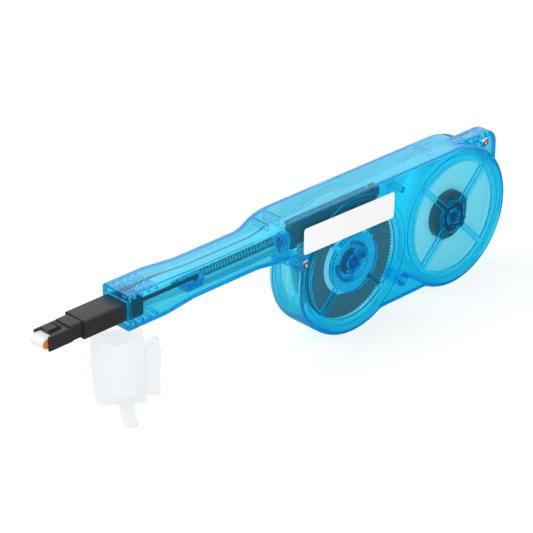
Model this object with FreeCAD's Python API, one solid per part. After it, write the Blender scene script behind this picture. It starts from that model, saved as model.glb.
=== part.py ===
import FreeCAD, Part
import math
import os

from FreeCAD import Vector

# Two-reel push cleaner for multi-fibre connectors.
# Tool frame while modelling: X along the tool from nose (-) to reels (+), measured from the
# front reel's axle; Y across it, 0 on the mid plane, the labelled face at -Y; Z up from the
# floor that both reel drums stand on. Everything is moved once, at export, so that the origin
# lies on the floor at the middle of the footprint. All sizes are millimetres.

# ---- housing ----
body_thick = 16.5        # across the reel drums
front_depth = 7.1        # share of that thickness that the front shell takes
wall = 1.5
drum_r = 28.8
axle_pitch = 55.0        # front axle to rear axle
web_rise = 4.0           # underside of the web between the drums, above the floor
web_blend_r = 5.0
neck_blend_r = 8.0       # blend from the neck's underside into the front drum
edge_r = 1.2             # rounding of the housing's outer edges
nose_drop = 9.3          # axis of the nozzle, spring and neck, below the top
neck_thick = 12.4
neck_height = 12.0
head_thick = 14.0
head_height = 14.0
head_len = 17.3
taper_len = 14.0
neck_len = 29.0
shoulder_len = 18.0      # over which the neck widens and rises into the drum body
shoulder_wide = 6.5      # the full thickness is reached this far before the full height
shoulder_out = 2.2       # end of the shoulder in front of the drum
nose_edge_r = 1.2

# ---- drum faces ----
ring_width = 2.4
groove_width = 1.8
rim_width = 1.8          # from the drum's outside to the groove
pane_recess = 0.8
groove_recess = 0.45
spoke_width = 2.0
face_rib = 0.9           # how far ring and spokes stand in from the front wall
front_hub_r = 11.8
rear_hub_r = 6.4
hub_eye_r = 2.8
hub_eye_depth = 0.7
pawl_window_r = 1.7
pawl_window_at = 4.9
pawl_window_angle = 62.0

# ---- ratchet ring moulded inside the front hub ----
ratchet_in_r = 6.5
ratchet_out_r = 8.4
ratchet_teeth = 36
ratchet_depth = 0.5
ratchet_pad = 0.9        # how far the hub pad stands in from the inner wall

# ---- reels ----
post_r = 2.9
post_tip_gap = 0.4       # from the post's tip to the floor of its socket
run_gap = 0.06           # radial running clearance, shaft in hole
side_gap = 0.25          # axial clearance beside a turning piece
seat_gap = 0.1           # between pieces that sit on each other and move together
tape_width = 6.4
tape_thick = 0.2
core_r = 8.0
take_up_roll_r = 12.6
supply_core_r = 9.7
roll_gap = 2.7           # full supply roll to the drum wall
supply_face = 2.0        # how far the supply core's face stands out of its roll
supply_hole_r = 1.0
supply_hole_at = 6.8
flange_in = 7.3          # flange edge inside the drum's outside
flange_thick = 0.9
washer_thick = 0.5
washer_r = 7.0

# ---- rack and drive gear ----
gear_teeth = 100
gear_thick = 1.2
addendum_share = 0.8     # of the module
dedendum_share = 1.2
tooth_backlash = 0.16
gear_bore_r = 13.2       # the ring of the gear turns on the reel's front flange
rack_ahead = 1.0         # front of the rack before the end of the shoulder
rack_len = 45.5
rack_height = 3.2
rack_top_gap = 0.88      # rack to the top wall
rack_teeth_each_way = 8
rack_leg_len = 3.0
peg_r = 0.3              # peg that ties the leg to the rail
rack_notch = 4.5
plate_thick = 1.4        # the black plate that carries the rack, in front of the gear
plate_gap = 0.4          # plate to the front wall
plate_height = 8.8
plate_step = 3.0         # the plate's rear end is stepped
guide_post_r = 1.3       # post under the feed tape
guide_post_gap = 1.6     # to the plate at the end of its stroke
stroke = 10.0            # travel of the nozzle; also sets the record's joint limit

# ---- spring and carrier ----
spring_coil_r = 1.35
spring_wire_r = 0.26
spring_turns = 26
spring_drop = 0.7        # spring axis below the nose axis
spring_seat_ahead = 4.0  # before the end of the shoulder
spring_seat_len = 3.5
seat_half = 3.0
carrier_ahead = 32.0     # before the start of the shoulder
carrier_len = 8.0
carrier_half = 3.4
carrier_height = 4.4
rail_thick = 0.85
rail_height = 1.1        # the rail runs below the spring on the labelled side
side_height = 1.8        # the carrier's sides above the spring's axis
rail_gap = 0.2           # rail to the neck's inner wall
rod_r = 0.8
rod_tail = 8.0           # past the front of the spring seat
arm_height = 1.2
end_len = 4.5            # block at the rail's rear end
end_height = 6.0
end_out = 1.1            # how far it stands out past the rail
end_boss_r = 2.1
end_boss_up = 1.6        # above the spring's axis
end_boss_out = 0.7
arm_nub = 0.8
strip_gap = 0.5          # tape run to the carrier

# ---- nozzle ----
shank_half = 5.15
shank_height = 7.2
shank_out = 18.4         # how far the shank stands out of the head
shank_in_head = 7.3
mid_len = 5.3
mid_half = 3.9
mid_height = 6.1
mid_step = 0.4           # top of the middle section below the top of the shank
cheek_half = 4.1
tip_len = 9.4            # cheeks in front of the middle section
cheek_back = 1.6         # how far the cheek plates lap over the middle section
cheek_corner = 1.0
tip_roof_up = 2.6        # above the nose axis
tip_floor_down = 2.8
tip_plate = 0.5
tip_roof_short = 1.9     # roof and floor end this far behind the cheeks' front
tip_floor_short = 3.5
key_y0 = -1.3
key_y1 = 2.7
key_height = 0.9
key_len = 5.6
key_notch = 0.7
channel_half = 3.35
channel_height = 5.2
opening_gap = 0.15
pad_r = 1.75
pad_ahead = 0.3          # pad centre in front of the cheeks
pad_half = 3.25
pad_tongue = 7.0
pad_tongue_thick = 1.4
tape_gap = 0.02          # between the pad and the tape on it
throat_back = 2.0        # where the tape leaves the tip, behind the shank's front
tape_in_shank = 1.7      # tape inside the shank's top and bottom

# ---- lug and screws ----
lug_short = 2.5          # lug's outer side inside the rear drum's reach
lug_corner_r = 6.5
lug_front_step = 3.6     # lug face set back from the front face
lug_thick = 5.6
lug_screw_in = 6.8       # from the lug's outer side
lug_screw_drop = 4.3     # below the top
nose_screw_in = 3.2      # inside the front drum's outside
nose_screw_dz = 8.6
lug_boss_r = 3.0
screw_head_r = 1.9
screw_head_h = 1.1
screw_r = 1.1
screw_gap = 0.08
nose_screw_len = 10.5
cross_size = 0.5
cross_depth = 0.6
boss_r = 2.8
waist_boss_up = 7.6      # above the web's underside
waist_boss_r = 2.9
pin_r = 1.3
pin_len = 2.0
rib_thick = 0.9
rib_places = (7.0, 1.4)  # top ribs before the end of the shoulder
head_rib_first = 3.0     # cross ribs inside the head, from its front
head_rib_step = 3.3
head_rib_count = 4
head_rib_height = 1.1
head_bar_at = 2.9        # bars along the head's roof, either side of the middle
rear_rib_in = 7.6        # and one before the rear axle

# ---- label ----
label_back = 4.0         # behind the end of the shoulder
label_len = 47.3
label_height = 10.6
label_drop = 16.3        # its lower edge below the top
label_thick = 0.12
label_corner_r = 1.2
label_tilt = 1.0         # degrees: it was stuck on slightly crooked

# ---- guide cap, taken off and standing on the floor ----
cap_width = 18.6
cap_depth = 12.5
cap_height = 24.0
cap_floor = 1.4
cap_behind = 3.2         # the corner nearest the nose, behind the head's front
cap_y = 17.3
cap_turn = -35.0
cap_bore_w = 10.8
cap_bore_d = 7.7
cap_key_w = 5.4
cap_key_d = 1.5
cap_key_drop = 14.0
cap_band_z = 10.4
cap_band_h = 0.8
cap_band_out = 0.35
cap_edge_r = 0.7
cap_foot_step = 0.8
cap_foot_h = 6.0
lever_w = 5.6
lever_thick = 2.4
lever_gap = 0.9
lever_root = 18.0
lever_top = 23.2
lever_nub = 0.5
lever_nub_z0 = 10.5
lever_nub_z1 = 18.5
tongue_len = 17.0
tongue_w = 5.2
tongue_thick = 1.3

# ---- worked-out places ----
half = body_thick / 2
front_y = -half
back_y = half
split_y = front_y + front_depth
front_in_y = front_y + wall
back_in_y = back_y - wall
axle_z = drum_r
top_z = 2 * drum_r
inner_top_z = top_z - wall
groove_out_r = drum_r - rim_width
ring_out_r = groove_out_r - groove_width
ring_in_r = ring_out_r - ring_width
nose_z = top_z - nose_drop
neck_z0 = nose_z - neck_height / 2
neck_inner_half = neck_thick / 2 - wall
shoulder_x1 = -(drum_r + shoulder_out)
shoulder_x0 = shoulder_x1 - shoulder_len
shoulder_wide_x = shoulder_x1 - shoulder_wide
head_front_x = shoulder_x0 - neck_len - taper_len - head_len

tape_half = tape_width / 2
supply_roll_r = drum_r - wall - roll_gap
flange_r = drum_r - flange_in
gear_module = (drum_r - wall - rack_height - rack_top_gap) / (gear_teeth / 2 + dedendum_share)
gear_addendum = addendum_share * gear_module
gear_dedendum = dedendum_share * gear_module
gear_pitch_r = gear_module * gear_teeth / 2
gear_front_y = -(tape_half + side_gap + gear_thick)
pitch_z = axle_z + gear_pitch_r
rack_z0 = pitch_z + gear_dedendum
rack_x0 = shoulder_x1 - rack_ahead
rack_x1 = rack_x0 + rack_len
plate_z0 = rack_z0 + rack_height - plate_height
guide_post_x = rack_x1 + stroke + guide_post_gap + guide_post_r

shank_front_x = head_front_x - shank_out
shank_back_x = head_front_x + shank_in_head
shank_z0 = nose_z - shank_height / 2
shank_z1 = nose_z + shank_height / 2
mid_x0 = shank_front_x - mid_len
cheek_x0 = mid_x0 - tip_len
tip_roof_x = cheek_x0 + tip_roof_short
tip_roof_z = nose_z + tip_roof_up
tip_floor_z = nose_z - tip_floor_down
tip_axis_z = (tip_roof_z + tip_floor_z) / 2
pad_x = cheek_x0 - pad_ahead

spring_z = nose_z - spring_drop
spring_seat_x = shoulder_x1 - spring_seat_ahead
rod_tail_x = spring_seat_x + rod_tail
carrier_x0 = shoulder_x0 - carrier_ahead
carrier_x1 = carrier_x0 + carrier_len
carrier_z0 = spring_z - carrier_height / 2
carrier_z1 = spring_z + carrier_height / 2
rail_out = neck_inner_half - rail_gap
rail_in = rail_out - rail_thick
rail_z0 = carrier_z0
rail_z1 = rail_z0 + rail_height
side_z1 = spring_z + side_height
arm_z0 = side_z1 + seat_gap
end_x1 = rack_x0 - seat_gap
feed_z = carrier_z1 + strip_gap + arm_height
feed_start_z = axle_z + supply_roll_r + seat_gap + tape_thick / 2
return_z = carrier_z0 - strip_gap

lug_x1 = axle_pitch + drum_r - lug_short
lug_y0 = front_y + lug_front_step
lug_screw_x = lug_x1 - lug_screw_in
lug_screw_z = top_z - lug_screw_drop
lug_screw_len = lug_thick + screw_head_h / 2 - 1.2
nose_screw_x = -(drum_r - nose_screw_in)
nose_screw_z = axle_z + nose_screw_dz
waist_boss_x = axle_pitch / 2
waist_boss_z = web_rise + waist_boss_up
rib_xs = [shoulder_x1 - d for d in rib_places] + [axle_pitch - rear_rib_in]
label_x0 = shoulder_x1 + label_back
label_z = top_z - label_drop
post_tip_y = front_in_y + ratchet_pad
cap_x = head_front_x + cap_behind
cap_far_y = (cap_y + (cap_depth + cap_band_out) * math.cos(math.radians(cap_turn))
             - cap_band_out * math.sin(math.radians(cap_turn)))
tip_x = pad_x - pad_r - tape_gap - tape_thick
rear_x = axle_pitch + drum_r
to_origin = Vector(-(tip_x + rear_x) / 2, -(front_y - label_thick + cap_far_y) / 2, 0)
past_all = 3 * (rear_x - tip_x)    # half size of a box that reaches past everything

Y_AXIS = Vector(0, 1, 0)


def box(x0, x1, y0, y1, z0, z1):
    return Part.makeBox(x1 - x0, y1 - y0, z1 - z0, Vector(x0, y0, z0))


def disc(x, z, r, y0, y1):
    """A cylinder across the tool, from y0 to y1."""
    return Part.makeCylinder(r, y1 - y0, Vector(x, y0, z), Y_AXIS)


def ring(x, z, r_in, r_out, y0, y1):
    return disc(x, z, r_out, y0, y1).cut(disc(x, z, r_in, y0, y1))


def plate_xz(points, y0, y1):
    """A flat plate with straight edges, drawn in XZ and given its thickness in Y."""
    outline = [Vector(x, y0, z) for x, z in points]
    face = Part.Face(Part.makePolygon(outline + outline[:1]))
    return face.extrude(Vector(0, y1 - y0, 0))


def round_box(x0, x1, y0, y1, z0, z1, r):
    """A bar along X whose four long edges are rounded."""
    bar = box(x0, x1, y0, y1, z0, z1)
    long_edges = [e for e in bar.Edges if abs(e.tangentAt(e.FirstParameter).x) > 0.9]
    return bar.makeFillet(r, long_edges)


def place_out(shape, node):
    shape = shape.copy()
    shape.translate(to_origin)
    shape.exportStep("parts/%s.step" % node)


def smooth(t):
    t = min(max(t, 0.0), 1.0)
    return t * t * (3 - 2 * t)


# ---- housing ----

def nose_section(x, half_width, z0, z1, r):
    """A rounded rectangle square to the tool's length."""
    y0, y1 = -half_width, half_width
    k = r * (1 - math.sqrt(0.5))
    p = [(y0 + r, z0), (y1 - r, z0), (y1 - k, z0 + k), (y1, z0 + r), (y1, z1 - r), (y1 - k, z1 - k),
         (y1 - r, z1), (y0 + r, z1), (y0 + k, z1 - k), (y0, z1 - r), (y0, z0 + r), (y0 + k, z0 + k)]
    p = [Vector(x, y, z) for y, z in p]
    edges = [Part.LineSegment(p[0], p[1]), Part.Arc(p[1], p[2], p[3]), Part.LineSegment(p[3], p[4]),
             Part.Arc(p[4], p[5], p[6]), Part.LineSegment(p[6], p[7]), Part.Arc(p[7], p[8], p[9]),
             Part.LineSegment(p[9], p[10]), Part.Arc(p[10], p[11], p[0])]
    return Part.Wire([e.toShape() for e in edges])


def nose_form(inset):
    """Head, taper, neck and shoulder, each side brought in by inset."""
    r = max(nose_edge_r - inset, 0.3)

    def section(x, width, z0, z1):
        return nose_section(x, width / 2 - inset, z0 + inset, z1 - inset, r)

    head_z0, head_z1 = nose_z - head_height / 2, nose_z + head_height / 2
    neck_z1 = neck_z0 + neck_height
    head_back = head_front_x + head_len
    head = Part.makeLoft([section(head_front_x + inset, head_thick, head_z0, head_z1),
                          section(head_back, head_thick, head_z0, head_z1)], True, True)
    taper = Part.makeLoft([section(head_back, head_thick, head_z0, head_z1),
                           section(head_back + taper_len, neck_thick, neck_z0, neck_z1)], True, True)
    neck = Part.makeLoft([section(head_back + taper_len, neck_thick, neck_z0, neck_z1),
                          section(shoulder_x0, neck_thick, neck_z0, neck_z1)], True, True)
    stations = []
    for i in range(7):
        x = shoulder_x0 + (shoulder_x1 - shoulder_x0) * i / 6
        rise = smooth((x - shoulder_x0) / (shoulder_x1 - shoulder_x0))
        widen = smooth((x - shoulder_x0) / (shoulder_wide_x - shoulder_x0))
        width = neck_thick + (body_thick - neck_thick) * widen
        stations.append(section(x, width, neck_z0, neck_z1 + (top_z - neck_z1) * rise))
    shoulder = Part.makeLoft(stations, True, True)
    return head.fuse([taper, neck, shoulder])


def drum_outline(inset):
    """Side outline of the two drums, the web between them and the blend under the neck."""
    r = drum_r - inset
    web_z = web_rise + inset
    under_neck = neck_z0 + inset
    web_r = web_blend_r + inset
    neck_r = neck_blend_r + inset
    # centres of the two blend circles under the web, and of the one under the neck
    dz = axle_z - (web_z - web_r)
    dx = math.sqrt((r + web_r) ** 2 - dz ** 2)
    nz = under_neck - neck_r - axle_z
    nx = -math.sqrt((r + neck_r) ** 2 - nz ** 2)
    pull = r / (r + web_r)
    neck_pull = r / (r + neck_r)

    def on(cx, radius, angle):
        a = math.radians(angle)
        return Vector(cx + radius * math.cos(a), 0, axle_z + radius * math.sin(a))

    top_left = Vector(shoulder_x1, 0, top_z - inset)
    top_right = Vector(axle_pitch, 0, top_z - inset)
    rear_low = Vector(axle_pitch - dx * pull, 0, axle_z - dz * pull)
    web_right = Vector(axle_pitch - dx, 0, web_z)
    web_left = Vector(dx, 0, web_z)
    front_low = Vector(dx * pull, 0, axle_z - dz * pull)
    front_high = Vector(nx * neck_pull, 0, axle_z + nz * neck_pull)
    neck_end = Vector(nx, 0, under_neck)
    neck_in = Vector(nx, 0, under_neck + wall)
    left_in = Vector(shoulder_x1, 0, under_neck + wall)

    def blend_mid(cx, cz, radius, a, b):
        m = Vector((a.x + b.x) / 2 - cx, 0, (a.z + b.z) / 2 - cz)
        return Vector(cx, 0, cz) + m * (radius / m.Length)

    edges = [
        Part.LineSegment(top_left, top_right),
        Part.Arc(top_right, on(axle_pitch, r, 0), rear_low),
        Part.Arc(rear_low, blend_mid(axle_pitch - dx, web_z - web_r, web_r, rear_low, web_right), web_right),
        Part.LineSegment(web_right, web_left),
        Part.Arc(web_left, blend_mid(dx, web_z - web_r, web_r, front_low, web_left), front_low),
        Part.Arc(front_low, on(0, r, 225), front_high),
        Part.Arc(front_high, blend_mid(nx, axle_z + nz, neck_r, front_high, neck_end), neck_end),
        Part.LineSegment(neck_end, neck_in),
        Part.LineSegment(neck_in, left_in),
        Part.LineSegment(left_in, top_left),
    ]
    return Part.Wire([e.toShape() for e in edges])


def drum_form(inset):
    """The drum body as a solid; the outer one has its rims rounded."""
    y0, y1 = front_y + inset, back_y - inset
    wire = drum_outline(inset)
    wire.translate(Vector(0, y0, 0))
    solid = Part.Face(wire).extrude(Vector(0, y1 - y0, 0))
    if inset > 0:
        return solid
    rims = []
    for e in solid.Edges:
        b = e.BoundBox
        flat = b.YLength < 0.01
        inside = b.XMax <= shoulder_x1 + 0.01 and b.ZMin >= neck_z0 - 0.01
        if flat and not inside:
            rims.append(e)
    return solid.makeFillet(edge_r, rims)


def lug_form(inset=0):
    """The ear that fills the corner above the rear drum."""
    x1 = lug_x1 - inset
    top = top_z - inset
    y0 = lug_y0 + inset
    r = lug_corner_r - inset
    k = r * (1 - math.sqrt(0.5))
    a, b = Vector(axle_pitch, y0, top), Vector(x1 - r, y0, top)
    mid, c = Vector(x1 - k, y0, top - k), Vector(x1, y0, top - r)
    d, e = Vector(x1, y0, axle_z), Vector(axle_pitch, y0, axle_z)
    edges = [Part.LineSegment(a, b), Part.Arc(b, mid, c), Part.LineSegment(c, d),
             Part.LineSegment(d, e), Part.LineSegment(e, a)]
    face = Part.Face(Part.Wire([s.toShape() for s in edges]))
    return face.extrude(Vector(0, lug_thick - 2 * inset, 0))


def lug_hollow():
    """Room inside the ear, round its screw boss and outside the drum."""
    keep = [disc(axle_pitch, axle_z, drum_r, -half, half),
            disc(lug_screw_x, lug_screw_z, lug_boss_r, -half, half)]
    return lug_form(wall).cut(keep)


def housing_walls():
    outer = drum_form(0).fuse([nose_form(0), lug_form()])
    inner = drum_form(wall).fuse(nose_form(wall)).cut(head_ribs())
    return outer.cut([inner, nozzle_opening(), lug_hollow()])


def nozzle_opening():
    g = opening_gap
    return box(head_front_x - 1, head_front_x + wall + 1, -shank_half - g, shank_half + g,
               shank_z0 - g, shank_z1 + g)


def spokes(x, y0, y1, r):
    """Four spokes in an X, from the drum's axis out to radius r."""
    bar = box(x - r, x + r, y0, y1, axle_z - spoke_width / 2, axle_z + spoke_width / 2)
    first, second = bar.copy(), bar.copy()
    first.rotate(Vector(x, 0, axle_z), Y_AXIS, 45)
    second.rotate(Vector(x, 0, axle_z), Y_AXIS, -45)
    return first.fuse(second)


def face_recess(x, hub_r, y_out, y_in, y_groove):
    """What is cut from a drum face: the four panes and the groove round the ring."""
    lo, hi = min(y_out, y_in), max(y_out, y_in)
    glo, ghi = min(y_out, y_groove), max(y_out, y_groove)
    panes = ring(x, axle_z, hub_r, ring_in_r, lo, hi).cut(spokes(x, lo, hi, drum_r))
    return panes, ring(x, axle_z, ring_out_r, groove_out_r, glo, ghi)


def face_ribs(x, hub_r, top):
    """Ring and spokes standing in from the front wall, up to the height top."""
    y0, y1 = front_in_y - 0.1, front_in_y + face_rib
    bars = spokes(x, y0, y1, ring_in_r + 0.1).cut(disc(x, axle_z, hub_r - 0.5, y0, y1))
    ribs = ring(x, axle_z, ring_in_r, ring_out_r, y0, y1).fuse(bars)
    return ribs.common(box(-past_all, past_all, y0, y1, 0, top))


def head_ribs():
    """Cross ribs on the head's roof and floor, and two bars along its roof."""
    roof, floor = nose_z + head_height / 2 - wall, nose_z - head_height / 2 + wall
    side, h = head_thick / 2 - wall + 0.1, head_rib_height
    ribs = []
    for i in range(head_rib_count):
        x = head_front_x + head_rib_first + i * head_rib_step
        for z0, z1 in ((roof - h, roof + 0.1), (floor - 0.1, floor + h)):
            ribs.append(box(x, x + rib_thick, -side, side, z0, z1))
    x0 = head_front_x + wall - 0.1
    x1 = head_front_x + head_rib_first + (head_rib_count - 1) * head_rib_step + rib_thick
    for y in (-head_bar_at, head_bar_at):
        ribs.append(box(x0, x1, y - rib_thick / 2, y + rib_thick / 2, roof - h, roof + 0.1))
    return ribs


def ratchet_grooves():
    grooves = []
    y1 = post_tip_y
    width = math.pi * ratchet_in_r / ratchet_teeth
    for i in range(ratchet_teeth):
        g = box(ratchet_in_r, ratchet_out_r, y1 - ratchet_depth, y1 + 0.1, axle_z - width / 2, axle_z + width / 2)
        g.rotate(Vector(0, 0, axle_z), Y_AXIS, 360.0 * i / ratchet_teeth)
        grooves.append(g)
    return grooves


def pawl_windows():
    holes = []
    for turn in (0, 180):
        a = math.radians(pawl_window_angle + turn)
        x, z = pawl_window_at * math.cos(a), axle_z + pawl_window_at * math.sin(a)
        holes.append(disc(x, z, pawl_window_r, front_y - 0.1, post_tip_y + 0.1))
    return holes


def half_space(y0, y1):
    return box(-past_all, past_all, y0, y1, -past_all, past_all)


def front_shell():
    shell = housing_walls().common(half_space(-past_all, split_y))
    adds = [disc(0, axle_z, front_hub_r, front_in_y - 0.1, post_tip_y),
            disc(axle_pitch, axle_z, rear_hub_r, front_in_y - 0.1, post_tip_y),
            disc(nose_screw_x, nose_screw_z, boss_r, front_in_y - 0.1, split_y),
            disc(waist_boss_x, waist_boss_z, waist_boss_r, front_in_y - 0.1, split_y),
            disc(waist_boss_x, waist_boss_z, pin_r, split_y - 0.1, split_y + pin_len),
            face_ribs(0, front_hub_r, rail_z0 - 2 * plate_gap),
            face_ribs(axle_pitch, rear_hub_r, top_z)]
    shell = shell.fuse(adds)
    cuts = list(face_recess(0, front_hub_r, front_y, front_y + pane_recess, front_y + groove_recess))
    cuts += face_recess(axle_pitch, rear_hub_r, front_y, front_y + pane_recess, front_y + groove_recess)
    for x in (0, axle_pitch):
        cuts.append(disc(x, axle_z, post_r + run_gap, post_tip_y - hub_socket(), post_tip_y + 0.1))
    cuts.append(ring(axle_pitch, axle_z, hub_eye_r, hub_eye_r + 1.0, front_y, front_y + hub_eye_depth))
    cuts.append(ring(0, axle_z, hub_eye_r, hub_eye_r + 0.8, front_y, front_y + hub_eye_depth))
    cuts += ratchet_grooves()
    cuts += pawl_windows()
    cuts.append(disc(nose_screw_x, nose_screw_z, screw_head_r + screw_gap, front_y - 1, front_y + screw_head_h))
    cuts.append(disc(nose_screw_x, nose_screw_z, screw_r + screw_gap, front_y, split_y + 1))
    cuts.append(disc(lug_screw_x, lug_screw_z, screw_head_r + screw_gap, lug_y0 - 1, lug_y0 + screw_head_h / 2))
    cuts.append(disc(lug_screw_x, lug_screw_z, screw_r + screw_gap, lug_y0, split_y + 1))
    return shell.cut(cuts)


def hub_socket():
    """Depth of the blind hole in a front hub that holds the tip of a reel post."""
    return ratchet_pad + post_tip_gap - 0.1


def rear_shell():
    shell = housing_walls().common(half_space(split_y, past_all))
    tip = post_tip_y - ratchet_pad + 0.1
    adds = [disc(0, axle_z, post_r, tip, back_in_y + 0.1),
            disc(axle_pitch, axle_z, post_r, tip, back_in_y + 0.1),
            disc(nose_screw_x, nose_screw_z, boss_r, split_y, back_in_y + 0.1),
            disc(waist_boss_x, waist_boss_z, waist_boss_r, split_y, back_in_y + 0.1),
            disc(guide_post_x, feed_z - guide_post_r - strip_gap, guide_post_r, front_in_y + plate_gap,
                 back_in_y + 0.1),
            spring_seat()]
    for x in rib_xs:
        adds.append(top_rib(x))
    shell = shell.fuse(adds)
    cuts = [disc(nose_screw_x, nose_screw_z, screw_r + screw_gap, split_y - 1, back_in_y),
            disc(lug_screw_x, lug_screw_z, screw_r + screw_gap, split_y - 1, lug_y0 + lug_thick - 1.0),
            disc(waist_boss_x, waist_boss_z, pin_r + screw_gap, split_y - 1, split_y + pin_len + 0.3)]
    for x in (0, axle_pitch):
        panes, groove = face_recess(x, rear_hub_r, back_y, back_y - pane_recess, back_y - groove_recess)
        cuts += [panes, groove]
    return shell.cut(cuts)


def spring_seat():
    """The block across the rear shell that the spring's rear end pushes on."""
    x1 = spring_seat_x + spring_seat_len
    block = box(spring_seat_x, x1, -seat_half, back_in_y + 0.1, spring_z - seat_half + 1.2, spring_z + seat_half - 1.2)
    bore = Part.makeCylinder(rod_r + run_gap, spring_seat_len + 2, Vector(spring_seat_x - 1, 0, spring_z), Vector(1, 0, 0))
    return block.cut(bore)


def feed_height(x):
    """Height of the feed tape between the supply roll and the shoulder."""
    share = (x - shoulder_x1) / (axle_pitch - shoulder_x1)
    return feed_z + (feed_start_z - feed_z) * share


def top_rib(x):
    """A short cross rib under the top wall of the rear shell."""
    z0 = max(feed_height(x), feed_z) + 2 * strip_gap
    rib = box(x - rib_thick / 2, x + rib_thick / 2, split_y, back_in_y + 0.1, z0, inner_top_z + wall / 2)
    return rib.common(drum_form(0).fuse(nose_form(0)))


# ---- reels and drive ----

def drive_gear():
    """Toothed ring that the rack turns; it sits round the take-up reel's front flange."""
    y0, y1 = gear_front_y, gear_front_y + gear_thick
    root_r = gear_pitch_r - gear_dedendum
    tip_r = gear_pitch_r + gear_addendum
    tooth = math.pi * gear_module / 2 - tooth_backlash
    lean = math.tan(math.radians(20))
    points = []
    for i in range(gear_teeth):
        mid = 2 * math.pi * i / gear_teeth
        for r, side in ((root_r, -1), (tip_r, -1), (tip_r, 1), (root_r, 1)):
            w = tooth / 2 - (r - gear_pitch_r) * lean
            a = mid + side * w / r
            points.append((r * math.sin(a), axle_z + r * math.cos(a)))
    gear = plate_xz(points, y0, y1)
    return gear.cut(disc(0, axle_z, gear_bore_r, y0 - 1, y1 + 1))


def take_up_reel():
    y_flange = tape_half + seat_gap
    core_y0 = gear_front_y - 0.1
    reel = disc(0, axle_z, core_r, core_y0, y_flange + flange_thick)
    reel = reel.fuse([disc(0, axle_z, flange_r, y_flange, y_flange + flange_thick),
                      disc(0, axle_z, gear_bore_r - run_gap, gear_front_y, gear_front_y + gear_thick),
                      disc(0, axle_z, post_r + 2.2, y_flange, back_in_y - side_gap)])
    return reel.cut(disc(0, axle_z, post_r + run_gap, -past_all, past_all))


def take_up_tape():
    return ring(0, axle_z, core_r + seat_gap, take_up_roll_r, -tape_half, tape_half)


def pawl_ring():
    """Hub clip with two springy fingers that click round the ratchet ring."""
    y1 = gear_front_y - 0.1 - seat_gap / 2
    y0 = post_tip_y + seat_gap
    hub = ring(0, axle_z, post_r + run_gap, ratchet_in_r - 1.2, y0, y1)
    fingers = []
    mid_r = (ratchet_in_r + ratchet_out_r) / 2
    for turn in (0, 180):
        quarter = box(0, 2 * mid_r, y0, y1, axle_z - 0.5, axle_z + 2 * mid_r)
        arc = ring(0, axle_z, mid_r - 0.5, mid_r + 0.5, y0, y1).common(quarter)
        foot = box(ratchet_in_r - 1.6, mid_r, y0, y1, axle_z - 0.6, axle_z + 0.9)
        finger = arc.fuse(foot)
        finger.rotate(Vector(0, 0, axle_z), Y_AXIS, turn)
        fingers.append(finger)
    return hub.fuse(fingers)


def supply_reel():
    y0 = -tape_half - supply_face
    y1 = tape_half + 1.0
    core = disc(axle_pitch, axle_z, supply_core_r, y0, y1)
    pocket = ring(axle_pitch, axle_z, post_r + 2.2, supply_core_r - 1.4, y0 + 1.6, y1 + 1)
    hub_end = disc(axle_pitch, axle_z, post_r + 2.2, y1 - 1, back_in_y - washer_thick - 2 * seat_gap)
    core = core.cut(pocket).fuse(hub_end)
    holes = [disc(axle_pitch, axle_z, post_r + run_gap, -past_all, past_all)]
    for i in range(6):
        a = math.radians(60 * i + 25)
        x = axle_pitch + supply_hole_at * math.cos(a)
        z = axle_z + supply_hole_at * math.sin(a)
        holes.append(disc(x, z, supply_hole_r, y0 - 1, y0 + 2))
    return core.cut(holes)


def supply_tape():
    return ring(axle_pitch, axle_z, supply_core_r + seat_gap, supply_roll_r, -tape_half, tape_half)


def friction_washer():
    y1 = back_in_y - seat_gap / 2
    return ring(axle_pitch, axle_z, post_r + 0.2, washer_r, y1 - washer_thick, y1)


def tape_strip(points):
    """A tape run drawn as a bent line in XZ, thick enough to be a solid."""
    upper = [(x, z + tape_thick / 2) for x, z in points]
    lower = [(x, z - tape_thick / 2) for x, z in reversed(points)]
    return plate_xz(upper + lower, -tape_half, tape_half)


def feed_tape_run():
    return tape_strip([(axle_pitch, feed_start_z), (shoulder_x1, feed_z), (carrier_x0, feed_z),
                       (shank_back_x + strip_gap, shank_z1 - tape_in_shank)])


def return_tape_run():
    r = take_up_roll_r + seat_gap + tape_thick / 2
    lean = math.radians(6)
    end = (-r * math.sin(lean), axle_z + r * math.cos(lean))
    return tape_strip([(shank_back_x + strip_gap, shank_z0 + tape_in_shank), (carrier_x0, return_z),
                       (spring_seat_x, return_z), end])


# ---- slider ----

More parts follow.
